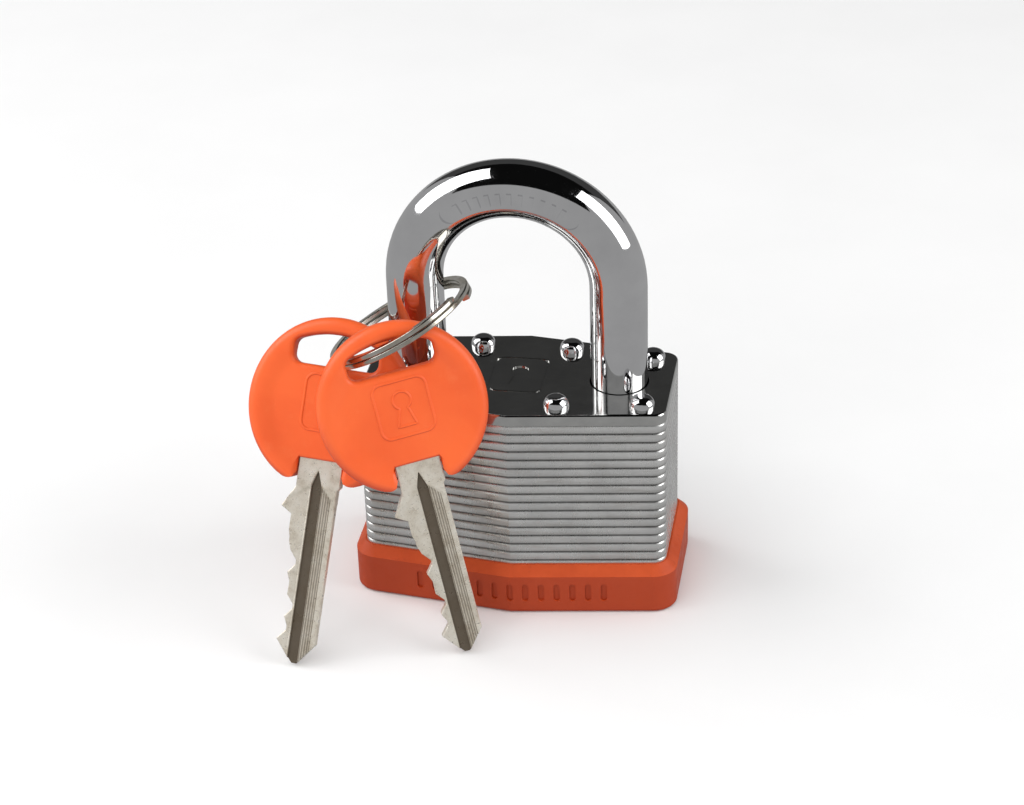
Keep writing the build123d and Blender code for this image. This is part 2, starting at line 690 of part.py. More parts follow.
def middle_groove_points():
    """The groove along the middle of the blade, which runs out to a point."""
    left, right = MIDDLE_GROOVE
    bottom = KEY_TIP - GROOVE_OVERRUN
    top = MIDDLE_GROOVE_TOP
    return [(left, bottom), (right, bottom), (right, top), MIDDLE_GROOVE_POINT, (left, top)]


def back_groove_points():
    """The step along the blade's back edge, which runs out at a slant."""
    inner, outer = BACK_GROOVE_SIDE, BLADE_BACK_SIDE + GROOVE_OVERRUN
    bottom = KEY_TIP - GROOVE_OVERRUN
    inner_top, outer_top = BACK_GROOVE_TOPS
    return [(inner, bottom), (outer, bottom), (outer, outer_top), (inner, inner_top)]


def key_head(plane):
    """Plastic head with its slot, dished faces and the pocket that the bow fills."""
    with BuildPart() as head:
        with BuildSketch(plane.offset(-HEAD_THICKNESS / 2)):
            add(head_outline())
        extrude(amount=HEAD_THICKNESS)
        fillet(head.edges().filter_by(GeomType.LINE, reverse=True), HEAD_ROUND)
        for side in (1, -1):
            with BuildSketch(plane.offset(side * HEAD_THICKNESS / 2)):
                add(head_outline(DISH_MARGIN))
            extrude(amount=-side * DISH_DEPTH, mode=Mode.SUBTRACT)
        with BuildSketch(plane.offset(-HEAD_THICKNESS)):
            add(slot_outline())
            block(-NOTCH_HALF_WIDTH, NOTCH_HALF_WIDTH, -HEAD_HALF_HEIGHT - 1, BLADE_TOP)
        extrude(amount=2 * HEAD_THICKNESS, mode=Mode.SUBTRACT)
        with BuildSketch(plane.offset(-BLADE_THICKNESS / 2)):
            add(bow_outline())
        extrude(amount=BLADE_THICKNESS, mode=Mode.SUBTRACT)
    return head.part


def key_blade(plane):
    """Metal key: bow, shank, cut blade and the milled grooves along both faces."""
    with BuildPart() as blade:
        with BuildSketch(plane.offset(-BLADE_THICKNESS / 2)):
            add(bow_outline())
            with BuildLine():
                Polyline(*blade_points(), close=True)
            make_face()
        extrude(amount=BLADE_THICKNESS)
        for side in (1, -1):
            with BuildSketch(plane.offset(side * BLADE_THICKNESS / 2)):
                with BuildLine():
                    Polyline(*middle_groove_points(), close=True)
                make_face()
                with BuildLine():
                    Polyline(*back_groove_points(), close=True)
                make_face()
            extrude(amount=-side * GROOVE_DEPTH, mode=Mode.SUBTRACT)
    return blade.part


FRONT_KEY = key_plane(centre=(-15.47, -17.81, 39.95), yaw=18.0, lean=16.5, roll=9.85)
LEFT_KEY = key_plane(centre=(-28.22, -13.22, 36.73), yaw=-2.4, lean=29.5, roll=-4.1)

for key_name, plane in (("front", FRONT_KEY), ("left", LEFT_KEY)):
    save(key_head(plane), f"key_head_{key_name}")
    save(key_blade(plane), f"key_blade_{key_name}")
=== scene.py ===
import json
from math import atan2, cos, pi, radians, sin, sqrt

import bpy
import numpy as np
from mathutils import Matrix, Vector


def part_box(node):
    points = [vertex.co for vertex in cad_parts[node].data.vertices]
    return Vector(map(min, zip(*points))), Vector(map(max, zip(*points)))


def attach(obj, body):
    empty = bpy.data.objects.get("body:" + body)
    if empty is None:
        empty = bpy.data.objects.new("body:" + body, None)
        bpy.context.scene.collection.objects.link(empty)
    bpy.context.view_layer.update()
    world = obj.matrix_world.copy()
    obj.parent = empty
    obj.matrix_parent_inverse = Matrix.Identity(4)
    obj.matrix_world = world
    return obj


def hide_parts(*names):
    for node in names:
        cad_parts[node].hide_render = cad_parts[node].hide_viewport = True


MM = 0.001

# The colour sockets of a Mix node, which has several of the same name.
MIX_FIRST = 6
MIX_SECOND = 7
MIX_RESULT = 2

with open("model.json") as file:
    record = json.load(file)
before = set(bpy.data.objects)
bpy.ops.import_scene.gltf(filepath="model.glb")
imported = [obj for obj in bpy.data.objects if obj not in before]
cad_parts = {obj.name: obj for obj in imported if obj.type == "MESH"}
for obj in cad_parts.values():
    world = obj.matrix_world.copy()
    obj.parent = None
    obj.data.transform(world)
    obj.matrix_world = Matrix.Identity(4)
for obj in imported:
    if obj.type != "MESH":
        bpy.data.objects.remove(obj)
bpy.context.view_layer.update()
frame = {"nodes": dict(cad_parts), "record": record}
nodes = frame["nodes"]
bpy.context.scene.view_settings.view_transform = "Standard"

# The stack's layers, from the model: the first plate's underside, and the step from plate to plate.
FIRST_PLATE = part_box("lamination_01")[0].z
PLATE_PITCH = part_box("lamination_02")[0].z - FIRST_PLATE


# ---------------------------------------------------------------- small node helpers


class Surface:
    """A node material with the few nodes that every material here uses."""

    def __init__(self, name, base, metallic=0.0, roughness=0.5):
        self.material = bpy.data.materials.new(name)
        self.material.use_nodes = True
        self.tree = self.material.node_tree
        self.bsdf = self.tree.nodes["Principled BSDF"]
        self.bsdf.inputs["Base Color"].default_value = (*base, 1)
        self.bsdf.inputs["Metallic"].default_value = metallic
        self.bsdf.inputs["Roughness"].default_value = roughness
        coordinates = self.node("ShaderNodeTexCoord")
        self.object_point = coordinates.outputs["Object"]
        self.facing = coordinates.outputs["Normal"]
        self.normal = None

    def node(self, kind, **values):
        made = self.tree.nodes.new(kind)
        for key, value in values.items():
            setattr(made, key, value)
        return made

    def link(self, start, end):
        self.tree.links.new(start, end)

    def scaled(self, scale, turn=(0, 0, 0), place=(0, 0, 0)):
        mapping = self.node("ShaderNodeMapping")
        mapping.inputs["Location"].default_value = place
        mapping.inputs["Scale"].default_value = scale
        mapping.inputs["Rotation"].default_value = turn
        self.link(self.object_point, mapping.inputs["Vector"])
        return mapping.outputs["Vector"]

    def noise(self, scale, detail=4.0, rough=0.55, stretch=(1, 1, 1), turn=(0, 0, 0), warp=0.0):
        """Noise with a feature size of 1/scale metres."""
        made = self.node("ShaderNodeTexNoise")
        made.inputs["Scale"].default_value = 1.0
        made.inputs["Detail"].default_value = detail
        made.inputs["Roughness"].default_value = rough
        made.inputs["Distortion"].default_value = warp
        self.link(self.scaled([scale * share for share in stretch], turn), made.inputs["Vector"])
        return made.outputs["Fac"]

    def turned_down(self, full, none):
        """1 where the normal's height is full or less, 0 where it is none or more."""
        split = self.node("ShaderNodeSeparateXYZ")
        self.link(self.facing, split.inputs["Vector"])
        spread = self.node("ShaderNodeMapRange")
        spread.inputs["From Min"].default_value = full
        spread.inputs["From Max"].default_value = none
        spread.inputs["To Min"].default_value = 1.0
        spread.inputs["To Max"].default_value = 0.0
        self.link(split.outputs["Z"], spread.inputs["Value"])
        return spread.outputs["Result"]

    def ramp(self, value, stops):
        made = self.node("ShaderNodeValToRGB")
        elements = made.color_ramp.elements
        while len(elements) < len(stops):
            elements.new(0.5)
        for element, (place, colour) in zip(elements, stops):
            element.position = place
            channels = colour if isinstance(colour, tuple) else (colour, colour, colour)
            element.color = (*channels, 1)
        self.link(value, made.inputs["Fac"])
        return made.outputs["Color"]

    def mix(self, factor, first, second):
        """From the first colour, which is another node's, towards a plain second one."""
        made = self.node("ShaderNodeMix", data_type="RGBA")
        self.link(factor, made.inputs["Factor"])
        self.link(first, made.inputs[MIX_FIRST])
        made.inputs[MIX_SECOND].default_value = (*second, 1)
        return made.outputs[MIX_RESULT]

    def colour(self, output):
        self.link(output, self.bsdf.inputs["Base Color"])

    def rough(self, value, low, high, start=0.3, end=0.7):
        self.link(self.ramp(value, [(start, low), (end, high)]), self.bsdf.inputs["Roughness"])

    def bump(self, height, depth_mm, strength=1.0):
        made = self.node("ShaderNodeBump")
        made.inputs["Strength"].default_value = strength
        made.inputs["Distance"].default_value = depth_mm * MM
        self.link(height, made.inputs["Height"])
        if self.normal is not None:
            self.link(self.normal, made.inputs["Normal"])
        self.normal = made.outputs["Normal"]
        self.link(self.normal, self.bsdf.inputs["Normal"])


# ---------------------------------------------------------------- materials

# The point attribute of the key blades that says how deep the milling goes; it drives the painted shade in
# the milled grooves.
MILLED = "milled"


def plated_edges():
    """Zinc-plated plate edges: shear lines, dull patches, grime, and painted shade in the gap between plates.
    """
    s = Surface("plated_edges", (0.6, 0.6, 0.59), metallic=0.88, roughness=0.3)
    patches = s.noise(180, detail=5)
    shear = s.noise(2600, detail=3, stretch=(0.06, 0.06, 1))
    grime = s.noise(420, detail=6, rough=0.7, stretch=(0.2, 0.2, 2.5))
    clean = s.ramp(patches, [(0.3, (0.7, 0.7, 0.69)), (0.7, (0.88, 0.88, 0.865))])
    dirty = s.ramp(grime, [(0.5, 0.0), (0.78, 0.5)])
    tone = s.mix(dirty, clean, (0.36, 0.31, 0.26))
    split = s.node("ShaderNodeSeparateXYZ")
    in_layers = s.scaled((1, 1, 1 / PLATE_PITCH), place=(0, 0, -FIRST_PLATE / PLATE_PITCH))
    s.link(in_layers, split.inputs["Vector"])
    layer = s.node("ShaderNodeMath", operation="FRACT")
    s.link(split.outputs["Z"], layer.inputs[0])
    # Painted shade between the plates: each plate's colour goes towards near black close to its underside and
    # close to its top.
    painted_gap_shade_stops = [(0.0, 0.92), (0.09, 0.75), (0.2, 0.22), (0.5, 0.05), (0.8, 0.0), (0.93, 0.1), (1.0, 0.95)]
    gap = s.ramp(layer.outputs[0], painted_gap_shade_stops)
    s.colour(s.mix(gap, tone, (0.045, 0.042, 0.038)))
    s.rough(s.noise(900, detail=4, stretch=(1, 1, 0.2)), 0.2, 0.4)
    s.bump(shear, 0.008, 0.5)
    s.bump(patches, 0.03, 0.3)
    return s.material


def dark_mirror():
    """Polished plate with fine random scratches and dust haze."""
    s = Surface("dark_mirror", (0.6, 0.6, 0.59), metallic=1.0, roughness=0.1)
    haze = s.noise(260, detail=6)
    s.colour(s.ramp(haze, [(0.3, (0.54, 0.54, 0.53)), (0.75, (0.68, 0.68, 0.66))]))
    s.rough(s.noise(500, detail=6, rough=0.65), 0.06, 0.17, 0.35, 0.8)
    s.bump(s.noise(3200, detail=2, stretch=(1, 0.03, 1), turn=(0, 0, 0.5)), 0.002, 0.3)
    s.bump(s.noise(60, detail=2), 0.04, 0.08)
    return s.material


def chrome():
    """Bright chrome: slight waviness, hairline scratches and faint smears."""
    s = Surface("chrome", (0.78, 0.78, 0.79), metallic=1.0, roughness=0.05)
    smear = s.noise(120, detail=5)
    s.colour(s.ramp(smear, [(0.3, (0.72, 0.72, 0.73)), (0.7, (0.82, 0.82, 0.83))]))
    s.rough(s.noise(350, detail=7, rough=0.7), 0.03, 0.12, 0.35, 0.85)
    s.bump(s.noise(2400, detail=2, stretch=(1, 1, 0.04), turn=(0.1, 0.25, 0)), 0.0015, 0.3)
    s.bump(s.noise(70, detail=1), 0.06, 0.08)
    return s.material


def bumper_rubber():
    """Orange moulded rubber: fine mould grain, mottling, dark specks, and painted shade on the upright and
    downward faces.
    """
    s = Surface("bumper_rubber", (0.5, 0.09, 0.02), roughness=0.5)
    mottle = s.noise(140, detail=6, rough=0.6)
    tone = s.ramp(mottle, [(0.3, (0.5, 0.062, 0.013)), (0.72, (0.63, 0.092, 0.022))])
    specks = s.ramp(s.noise(900, detail=3), [(0.62, 0.0), (0.75, 0.35)])
    tone = s.mix(specks, tone, (0.3, 0.038, 0.012))
    # Painted shade: faces that point sideways or down turn a deeper orange.
    s.colour(s.mix(s.turned_down(-0.1, 0.4), tone, (0.37, 0.04, 0.009)))
    s.rough(s.noise(500, detail=4), 0.4, 0.62)
    s.bump(s.noise(4200, detail=3), 0.012, 0.5)
    s.bump(s.noise(260, detail=3), 0.04, 0.3)
    s.bsdf.inputs["Specular IOR Level"].default_value = 0.3
    return s.material


def key_plastic():
    """Orange satin plastic: spark-eroded grain, flow marks, rubbed spots, and painted shade on the
    undersides.
    """
    s = Surface("key_plastic", (0.86, 0.19, 0.035), roughness=0.42)
    flow = s.noise(60, detail=4, warp=0.6)
    tone = s.ramp(flow, [(0.3, (0.83, 0.105, 0.018)), (0.7, (0.91, 0.14, 0.028))])
    rubbed = s.ramp(s.noise(240, detail=7, rough=0.7), [(0.58, 0.0), (0.8, 0.25)])
    tone = s.mix(rubbed, tone, (0.95, 0.25, 0.09))
    # Painted shade: faces that point down, and less so those that point sideways, turn a deeper orange.
    s.colour(s.mix(s.turned_down(-0.5, 0.2), tone, (0.56, 0.05, 0.009)))
    s.rough(s.noise(700, detail=5), 0.34, 0.5)
    s.bump(s.noise(5200, detail=2), 0.006, 0.45)
    s.bump(s.noise(150, detail=2), 0.05, 0.16)
    s.bsdf.inputs["Subsurface Weight"].default_value = 0.08
    s.bsdf.inputs["Subsurface Radius"].default_value = (0.0012, 0.0005, 0.0002)
    return s.material


def nickel_silver(name, grain_turn):
    """Worn nickel silver: sandy skin, fine lengthwise drag lines, and painted shade in the milled grooves."""
    s = Surface(name, (0.6, 0.57, 0.5), metallic=0.6, roughness=0.32)
    sand = s.noise(3600, detail=3, rough=0.6)
    tarnish = s.noise(380, detail=7, rough=0.7)
    metal_stops = [(0.32, (0.62, 0.55, 0.44)), (0.5, (0.83, 0.77, 0.66)), (0.75, (0.95, 0.91, 0.82))]
    tone = s.ramp(tarnish, metal_stops)
    freckle = s.ramp(sand, [(0.3, 0.4), (0.42, 0.0)])
    tone = s.mix(freckle, tone, (0.26, 0.22, 0.17))
    # Painted shade in the milling: the deeper a place is milled, the darker its colour.
    milled = s.node("ShaderNodeAttribute", attribute_name=MILLED)
    painted_groove_shade = s.ramp(milled.outputs["Fac"], [(0.3, 0.0), (0.72, 0.92)])
    s.colour(s.mix(painted_groove_shade, tone, (0.11, 0.08, 0.05)))
    s.rough(s.noise(900, detail=5), 0.24, 0.46)
    s.bump(s.noise(2600, detail=2, stretch=(1, 1, 0.05), turn=grain_turn), 0.012, 0.6)
    s.bump(sand, 0.014, 0.55)
    return s.material


def wire_steel():
    """Nickel-plated ring wire, warm where the plating has rubbed."""
    s = Surface("wire_steel", (0.6, 0.57, 0.51), metallic=1.0, roughness=0.16)
    rub = s.noise(300, detail=5)
    s.colour(s.ramp(rub, [(0.35, (0.5, 0.46, 0.38)), (0.65, (0.68, 0.66, 0.61))]))
    s.rough(s.noise(800, detail=5), 0.1, 0.26)
    s.bump(s.noise(1800, detail=3), 0.008, 0.35)
    return s.material


def turned_brass():
    """Machined brass: rings of tool marks and dull spots."""
    s = Surface("turned_brass", (0.72, 0.52, 0.24), metallic=1.0, roughness=0.28)
    dull = s.noise(420, detail=6)
    s.colour(s.ramp(dull, [(0.3, (0.58, 0.4, 0.17)), (0.7, (0.78, 0.59, 0.3))]))
    s.rough(s.noise(900, detail=4), 0.2, 0.38)
    s.bump(s.noise(5200, detail=2, stretch=(0.1, 0.1, 1)), 0.006, 0.5)
    return s.material


def plain_steel():
    """Plain steel of the inner pieces: oily, with a fine grain."""
    s = Surface("plain_steel", (0.4, 0.4, 0.4), metallic=1.0, roughness=0.3)
    oil = s.noise(300, detail=5)
    s.colour(s.ramp(oil, [(0.3, (0.32, 0.32, 0.31)), (0.7, (0.48, 0.48, 0.47))]))
    s.rough(s.noise(1200, detail=4), 0.2, 0.42)
    s.bump(s.noise(3000, detail=2), 0.006, 0.4)
    return s.material


SLOT_MATERIALS = {
    "plate_steel": plated_edges(),
    "dark_plate": dark_mirror(),
    "chrome": chrome(),
    "bumper_rubber": bumper_rubber(),
    "key_plastic": key_plastic(),
    "ring_steel": wire_steel(),
    "brass": turned_brass(),
    "spring_steel": plain_steel(),
    "key_metal": nickel_silver("nickel_silver_front", (0.0, 0.17, 0.0)),
}
PLASTIC = SLOT_MATERIALS["key_plastic"]
KEY_METAL_FRONT = SLOT_MATERIALS["key_metal"]
KEY_METAL_LEFT = nickel_silver("nickel_silver_left", (0.0, -0.07, 0.0))

for part in frame["record"]["subparts"]:
    mesh = nodes[part["node"]].data
    mesh.materials.clear()
    mesh.materials.append(SLOT_MATERIALS[part["material_slot"]])


# ---------------------------------------------------------------- pieces


def placed(name, data):
    """A new object in the scene."""
    obj = bpy.data.objects.new(name, data)
    bpy.context.scene.collection.objects.link(obj)
    return obj


def piece(name, vertices, faces, material, body, smooth_angle):
    """A mesh piece from points in metres in the row frame."""
    mesh = bpy.data.meshes.new(name)
    mesh.from_pydata([tuple(v) for v in vertices], [], [tuple(f) for f in faces])
    mesh.validate()
    mesh.materials.append(material)
    obj = placed(name, mesh)
    mesh.shade_smooth()
    mesh.set_sharp_from_angle(angle=radians(smooth_angle))
    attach(obj, body)
    return obj


def key_matrix(centre, yaw, lean, roll):
    """From a key's own plane, in millimetres, to the row frame, in metres."""
    turn, back, spin = radians(yaw), radians(lean), radians(roll)
    face = Vector((sin(turn) * cos(back), -cos(turn) * cos(back), sin(back)))
    across = Vector((cos(turn), sin(turn), 0))
    up = face.cross(across)
    x_axis = across * cos(spin) + up * sin(spin)
    y_axis = face.cross(x_axis)
    columns = Matrix((x_axis, y_axis, face)).transposed()
    return Matrix.Translation(Vector(centre) * MM) @ columns.to_4x4() @ Matrix.Scale(MM, 4)


def smoothstep(t):
    t = np.clip(t, 0, 1)
    return t * t * (3 - 2 * t)


def distance_to_line(points, line, closed=True):
    """Distance from each point to a line of short straight runs."""
    start = line if closed else line[:-1]
    end = np.roll(line, -1, axis=0) if closed else line[1:]
    run = end - start
    along = ((points[:, None, :] - start) * run).sum(2) / np.maximum((run * run).sum(1), 1e-12)
    nearest = start + np.clip(along, 0, 1)[..., None] * run
    return np.sqrt(((points[:, None, :] - nearest) ** 2).sum(2)).min(1)


def rounding(distance, radius):
    """How far a face drops beside a rounded edge of that radius."""
    inside = np.clip(distance, 0, radius)
    return radius - np.sqrt(np.maximum(radius**2 - (radius - inside) ** 2, 0))


# The plastic head, in millimetres in its own plane: an oval, notched for the blade, with a slot for the ring.
HEAD_HALF = (13.5, 14.0)
HEAD_THICKNESS = 3.7
HEAD_RIM = 1.55
NOTCH_TOP = -8.9
NOTCH_HALF = 3.75
NOTCH_CORNER = 2.2
NOTCH_FOOT = -15
NOTCH_FLARE_FADE = 2.5
DISH = 0.5
DISH_START = 1.5
DISH_RUN = 3.4
SLOT_EDGE_ROUND = 0.8
NOTCH_EDGE_ROUND = 0.45
SLOT_HALF = 7.0
SLOT_LOW = 6.0
SLOT_CORNER = 1.5
SLOT_ARC_RADIUS = 16.1
SLOT_ARC_CENTRE = -4.9
SLOT_MIDDLE = 8.4

# The head's mesh: rings of points from slot to edge, spokes round it, and the steps at the notch in radians.
HEAD_RINGS = 37
HEAD_SPOKES = 300
NOTCH_STEP = 2e-4
SAME_TURN = 1e-6


def arc(centre, radius, start, end, count):
    turns = np.radians(np.linspace(start, end, count))
    return np.stack([centre[0] + radius * np.cos(turns), centre[1] + radius * np.sin(turns)], 1)


def slot_line():
    """The head's slot: flat below, bowed above, with rounded corners."""
    x = SLOT_HALF - SLOT_CORNER
    y = SLOT_ARC_CENTRE + sqrt((SLOT_ARC_RADIUS - SLOT_CORNER) ** 2 - x**2)
    turn = np.degrees(atan2(y - SLOT_ARC_CENTRE, x))
    return np.concatenate(
        [
            arc((x, SLOT_LOW + SLOT_CORNER), SLOT_CORNER, -90, 0, 12),
            arc((x, y), SLOT_CORNER, 0, turn, 10),
            arc((0, SLOT_ARC_CENTRE), SLOT_ARC_RADIUS, turn, 180 - turn, 40)[1:-1],
            arc((-x, y), SLOT_CORNER, 180 - turn, 180, 10),
            arc((-x, SLOT_LOW + SLOT_CORNER), SLOT_CORNER, 180, 270, 12),
        ]
    )


def ray_hit(origin, direction, line):
    """Distance along a ray to the furthest crossing of a closed line."""
    start, end = line, np.roll(line, -1, axis=0)
    run = end - start
    across = direction[0] * run[:, 1] - direction[1] * run[:, 0]
    across = np.where(np.abs(across) < 1e-12, 1e-12, across)
    gap = start - origin
    t = (gap[:, 0] * run[:, 1] - gap[:, 1] * run[:, 0]) / across
    u = (gap[:, 0] * direction[1] - gap[:, 1] * direction[0]) / across
    good = (t > 0) & (u >= -1e-9) & (u <= 1 + 1e-9)
    return t[good].max()


SLOT_LINE = slot_line()
OVAL_TURNS = np.linspace(0, 2 * pi, 361)[:-1]
OVAL_LINE = np.array([(HEAD_HALF[0] * cos(turn), HEAD_HALF[1] * sin(turn)) for turn in OVAL_TURNS])
NOTCH_LINE = np.array(
    [(-NOTCH_HALF, NOTCH_FOOT), (-NOTCH_HALF, NOTCH_TOP), (NOTCH_HALF, NOTCH_TOP), (NOTCH_HALF, NOTCH_FOOT)]
)


def head_height(points):
    """Half thickness of the head: round rim, soft dish, and rounded edges at the slot and the notch."""
    to_rim = distance_to_line(points, OVAL_LINE)
    to_slot = distance_to_line(points, SLOT_LINE)
    to_notch = distance_to_line(points, NOTCH_LINE, closed=False)
    height = HEAD_THICKNESS / 2 - rounding(to_rim, HEAD_RIM)
    height = height - rounding(to_slot, SLOT_EDGE_ROUND) - rounding(to_notch, NOTCH_EDGE_ROUND)
    return height - DISH * smoothstep((to_rim - DISH_START) / DISH_RUN)


def head_points():
    """The head's points in its own plane, in rings from the slot to the edge, and the number in a ring."""
    middle = np.array([0.0, SLOT_MIDDLE])
    right_turn = atan2(NOTCH_TOP - SLOT_MIDDLE, NOTCH_HALF)
    left_turn = -pi - right_turn
    step_turns = [right_turn, right_turn + NOTCH_STEP, left_turn, left_turn - NOTCH_STEP]
    turns = np.array(sorted(list(np.linspace(-pi, pi, HEAD_SPOKES + 1)[:-1]) + step_turns))
    shares = (1 - np.cos(np.linspace(0, pi, HEAD_RINGS))) / 2
    inner, outer = [], []
    for turn in turns:
        way = np.array([cos(turn), sin(turn)])
        inner.append(middle + way * ray_hit(middle, way, SLOT_LINE))
        if left_turn - SAME_TURN <= turn <= right_turn + SAME_TURN:
            reach = (NOTCH_TOP - middle[1]) / way[1]
        else:
            reach = ray_hit(middle, way, OVAL_LINE)
            beside = min(abs(turn - right_turn), abs(turn - left_turn)) * reach
            reach -= rounding(beside, NOTCH_CORNER)
        outer.append(middle + way * reach)
    inner, outer = np.array(inner), np.array(outer)
    flat = (inner[None] * (1 - shares[:, None, None]) + outer[None] * shares[:, None, None]).reshape(-1, 2)
    # The spokes spread below the notch's top, so the points beside it are drawn back to upright walls.
    flare = NOTCH_HALF * ((SLOT_MIDDLE - flat[:, 1]) / (SLOT_MIDDLE - NOTCH_TOP) - 1)
    beside_notch = np.abs(flat[:, 0]) - NOTCH_HALF - flare
    close = np.exp(-np.clip(beside_notch, 0, None) / NOTCH_FLARE_FADE) * (flat[:, 1] < NOTCH_TOP)
    flat[:, 0] -= np.sign(flat[:, 0]) * flare * close
    return flat, len(turns)


def key_head(name, matrix, body, node):
    """The plastic head: the rings of points on both faces, joined at the slot and at the outer edge."""
    flat, count = head_points()
    height = head_height(flat)
    rings = HEAD_RINGS
    points = [matrix @ Vector((x, y, side * h)) for side in (1, -1) for (x, y), h in zip(flat, height)]
    back = rings * count
    faces = []
    for ring in range(rings - 1):
        for k in range(count):
            n = (k + 1) % count
            a, b = ring * count + k, ring * count + n
            c, d = (ring + 1) * count + n, (ring + 1) * count + k
            faces.append((a, d, c, b))
            faces.append((back + a, back + b, back + c, back + d))
    last = (rings - 1) * count
    for k in range(count):
        n = (k + 1) % count
        faces.append((k, n, back + n, back + k))
        faces.append((last + n, last + k, back + last + k, back + last + n))
    head = piece(name, points, faces, PLASTIC, body, 50)
    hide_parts(node)


# A bead's section, from side to side: shares of its width, and of its rise.
BEAD_SHAPE = [(-0.5, -0.1), (-0.38, 0.55), (-0.15, 1.0), (0.15, 1.0), (0.38, 0.55), (0.5, -0.1)]
BEAD_RISE = 0.14


def raised_line(name, matrix, line, width, body):
    """A low rounded bead that follows a closed line on both faces of a head."""
    count = len(line)
    way = np.roll(line, -1, axis=0) - np.roll(line, 1, axis=0)
    way /= np.linalg.norm(way, axis=1)[:, None]
    side_way = np.stack([-way[:, 1], way[:, 0]], 1)
    points, faces = [], []
    for face_side in (1, -1):
        first = len(points)
        flat = np.concatenate([line + side_way * across * width for across, _ in BEAD_SHAPE])
        height = head_height(flat)
        for row, (_, up) in enumerate(BEAD_SHAPE):
            for k in range(count):
                x, y = flat[row * count + k]
                points.append(matrix @ Vector((x, y, face_side * (height[row * count + k] + up * BEAD_RISE))))
        for row in range(len(BEAD_SHAPE) - 1):
            for k in range(count):
                n = (k + 1) % count
                quad = [first + row * count + k, first + row * count + n]
                quad += [first + (row + 1) * count + n, first + (row + 1) * count + k]
                faces.append(quad if face_side < 0 else quad[::-1])
    piece(name, points, faces, PLASTIC, body, 60)


# The keyhole sign on the heads and the rounded frame round it, in the head's plane.
EMBLEM_CENTRE = (0.1, 0.2)
FRAME_HALF = (4.3, 4.5)
FRAME_CORNER = 1.5
FRAME_BEAD = 0.5
EYE_UP = 1.3
EYE_RADIUS = 1.45
EYE_START, EYE_END = -62, 242
FOOT_HALF = 1.5
FOOT_DOWN = 2.9
KEYHOLE_BEAD = 0.45


def frame_line():
    """A rectangle with rounded corners."""
    runs = []
    for side_x, side_y, start in ((1, 1, 0), (-1, 1, 90), (-1, -1, 180), (1, -1, 270)):
        x = EMBLEM_CENTRE[0] + side_x * (FRAME_HALF[0] - FRAME_CORNER)
        y = EMBLEM_CENTRE[1] + side_y * (FRAME_HALF[1] - FRAME_CORNER)
        runs.append(arc((x, y), FRAME_CORNER, start, start + 90, 12))
    return densify(np.concatenate(runs))


def densify(line, step=0.35):
    """More points along a closed line, so that a bead follows the dished face."""
    made = []
    for start, end in zip(line, np.roll(line, -1, axis=0)):
        parts = max(1, int(np.linalg.norm(end - start) / step))
        made += [start + (end - start) * k / parts for k in range(parts)]
    return np.array(made)


def keyhole_line():
    """A keyhole sign: a round eye over a flared slot."""
    x, y = EMBLEM_CENTRE
    eye = arc((x, y + EYE_UP), EYE_RADIUS, EYE_START, EYE_END, 30)
    foot = np.array([(x - FOOT_HALF, y - FOOT_DOWN), (x + FOOT_HALF, y - FOOT_DOWN)])
    return densify(np.concatenate([eye, foot]))


# The blade, in millimetres in the same plane as its head: x across, y up, and the cuts on the left.
BLADE_HALF_THICKNESS = 1.0
BLADE_EDGE_ROUND = 0.16
BLADE_TOP = -7.0
KEY_TIP = -41.8
TIP_LEFT, TIP_RIGHT = -0.4, 0.5
TIP_LEFT_RISE, TIP_RIGHT_RISE = 3.6, 3.4
TIP_STEP_IN = 0.5
CUT_PITCH = 3.55
CUT_HALF_FLAT = 0.35
CUT_PEAK = 1.15
FIRST_CUT = -22.1
FIRST_CUT_RISE = 1.4
CUT_SIDES = (-3.5, -1.9, -2.5, -1.4, -1.9)
HIGH_SIDE = -3.8
BACK_SIDE = 3.2
SPUR = (-5.6, -17.0)
SPUR_UNDER = -18.1
SHOULDER_HALF = 3.6
LEFT_SHOULDER = -13.6
RIGHT_SHOULDER = (-13.4, -12.9)

# The milling on both faces: a groove, a land on its left, and fine ridges and a strip on its right.
GROOVE_DEPTH = 0.62
GROOVE_LEFT, GROOVE_RIGHT = -1.15, 0.55
GROOVE_LEFT_WALL, GROOVE_RIGHT_WALL = 0.22, 0.28
LAND_DEPTH = 0.2
LAND_EDGE = -1.3
LAND_WALL = 0.25
RIDGES_LEFT, RIDGES_RIGHT = 0.75, 2.35
RIDGES_DEPTH = 0.3
RIDGE_WAVE = 0.07
RIDGE_PITCH = 0.4

# Where the milling ends near the head: a point for the groove, a slant for the land and for the ridges.
GROOVE_END = -10.3
GROOVE_END_SLOPE = 3.0
GROOVE_POINT = -0.25
LAND_END = -13.0
LAND_END_SLOPE = 0.65
RIDGES_END = -12.7
RIDGES_END_SLOPE = 1.1
RIDGES_END_FROM = 0.7
RUN_OUT = 0.7

# The blade's mesh: rows from the tip up and columns across, clipped to the blade's edges.
ROW_STEP = 0.14
LAST_ROW = -6.9
COLUMN_STEP = 0.1
FIRST_COLUMN, LAST_COLUMN = -5.7, 3.75


